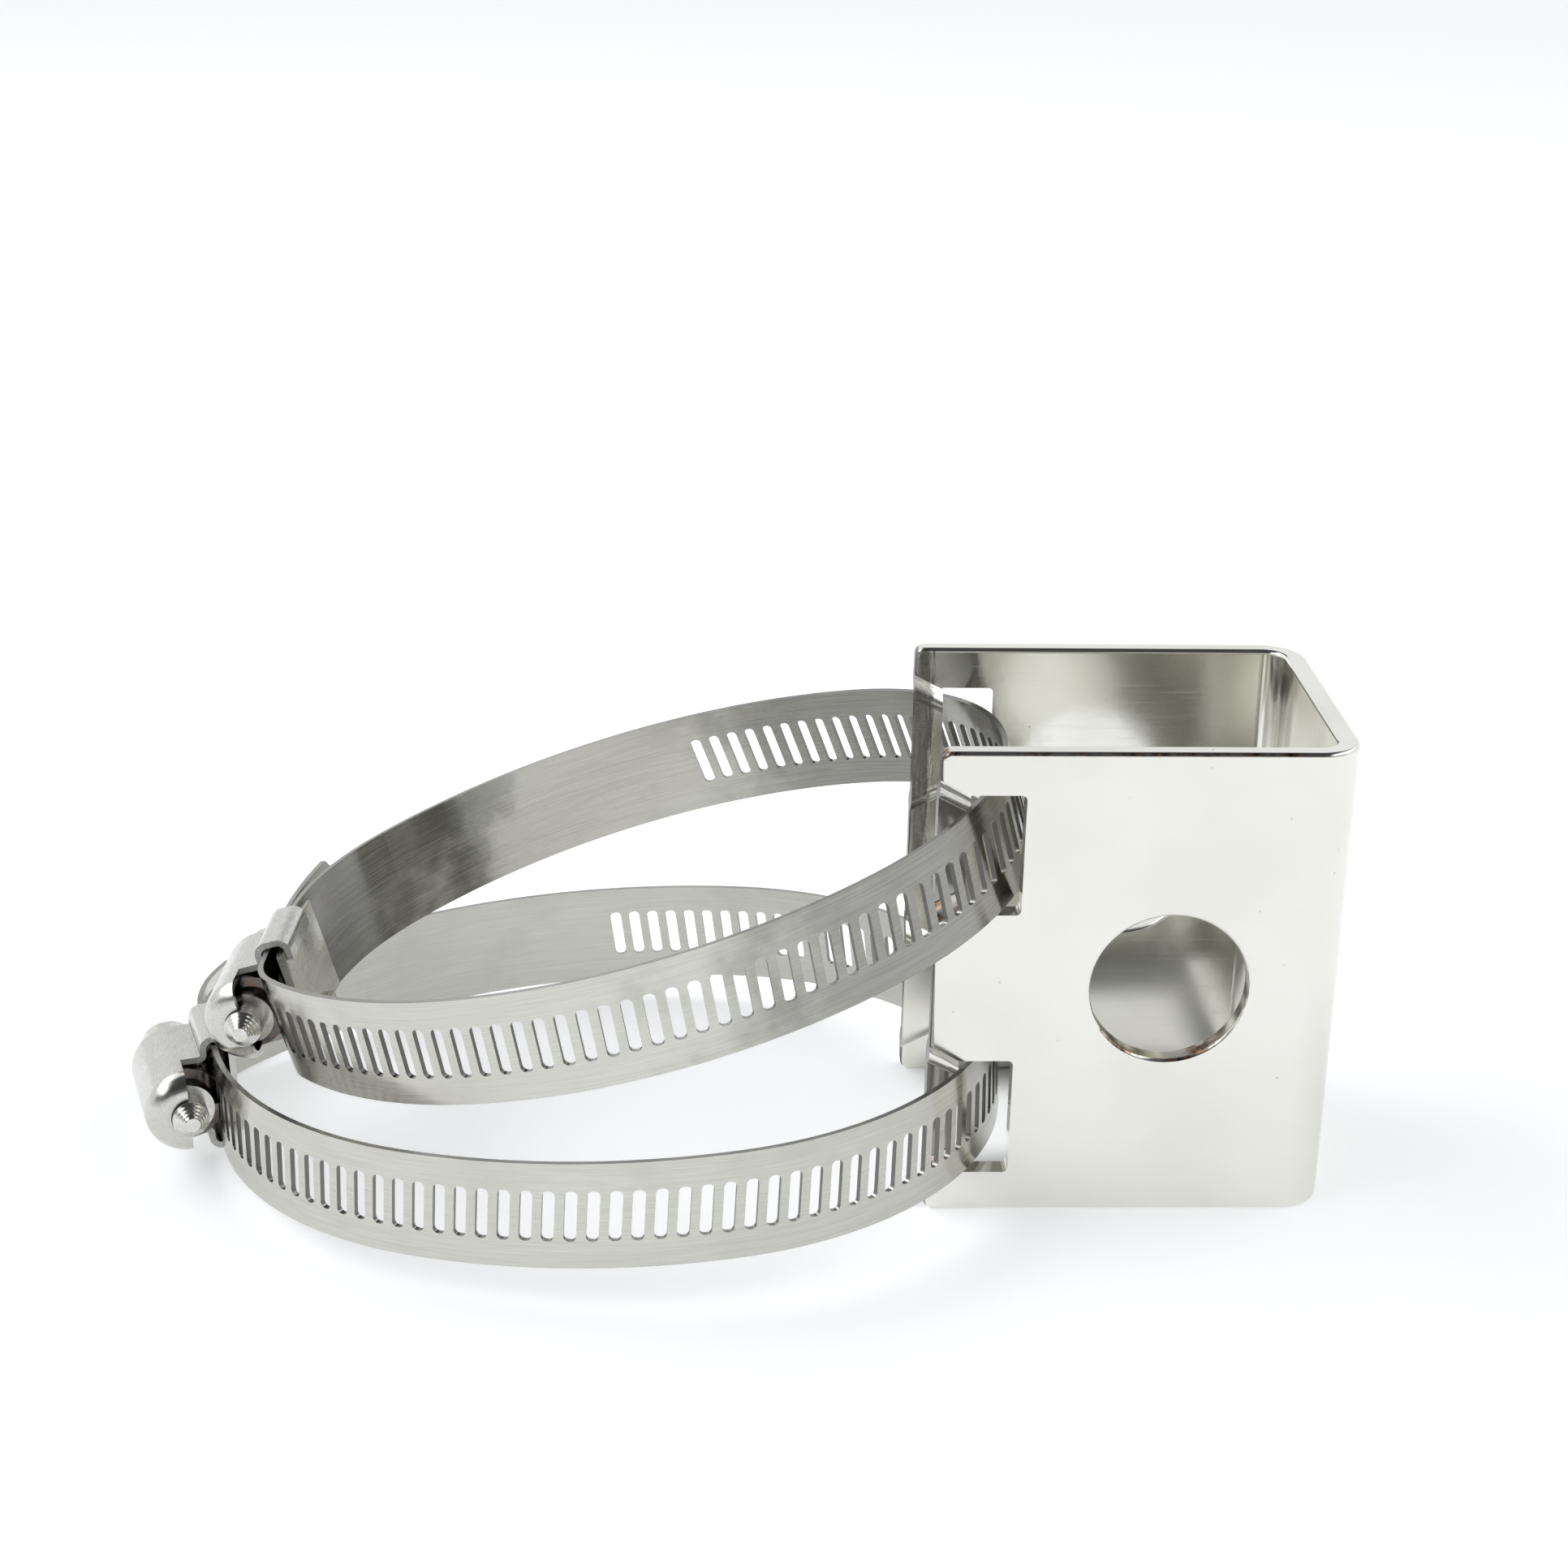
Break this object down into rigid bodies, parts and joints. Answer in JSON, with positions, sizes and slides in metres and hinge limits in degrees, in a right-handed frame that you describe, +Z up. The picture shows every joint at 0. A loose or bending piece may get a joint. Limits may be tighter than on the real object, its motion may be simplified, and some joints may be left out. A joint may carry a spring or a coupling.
{
  "type": "antenna mast clamp",
  "caption": "Folded sheet-steel U bracket with cross holes and slotted flanges, held to a mast by perforated worm-drive bands.",
  "frame": {"origin": "middle of the web's lower edge, on the surface that the bracket stands on", "axes": "+X from the mast to the bracket's web, +Y across the bracket from flange to flange, +Z up along the mast"},
  "size_m": [0.1417, 0.0782, 0.057],
  "materials": {
    "bracket_plating": "bright nickel plate over sheet steel",
    "band_steel": "satin, brushed along the strip",
    "housing_steel": "polished, with rough sheared ends",
    "saddle_steel": "satin",
    "screw_steel": "turned and plated"
  },
  "bodies": {
    "frame": {"bracket": "bracket_plating", "lower_band": "band_steel", "lower_housing": "housing_steel", "lower_saddle": "saddle_steel", "upper_band": "band_steel", "upper_housing": "housing_steel", "upper_saddle": "saddle_steel"},
    "lower_worm": {"lower_screw": "screw_steel"},
    "upper_worm": {"upper_screw": "screw_steel"}
  },
  "joints": [
    {"name": "lower_screw_turn", "type": "hinge", "parent": "frame", "child": "lower_worm", "pos_m": [-0.13418, -0.00088, 0.00755], "axis": [-0.2907, 0.9559, -0.041], "continuous": true, "deforming": ["lower_band"]},
    {"name": "upper_screw_turn", "type": "hinge", "parent": "frame", "child": "upper_worm", "pos_m": [-0.12389, 0.00019, 0.01945], "axis": [0.0556, 0.9984, -0.0035], "continuous": true, "deforming": ["upper_band"]}
  ]
}
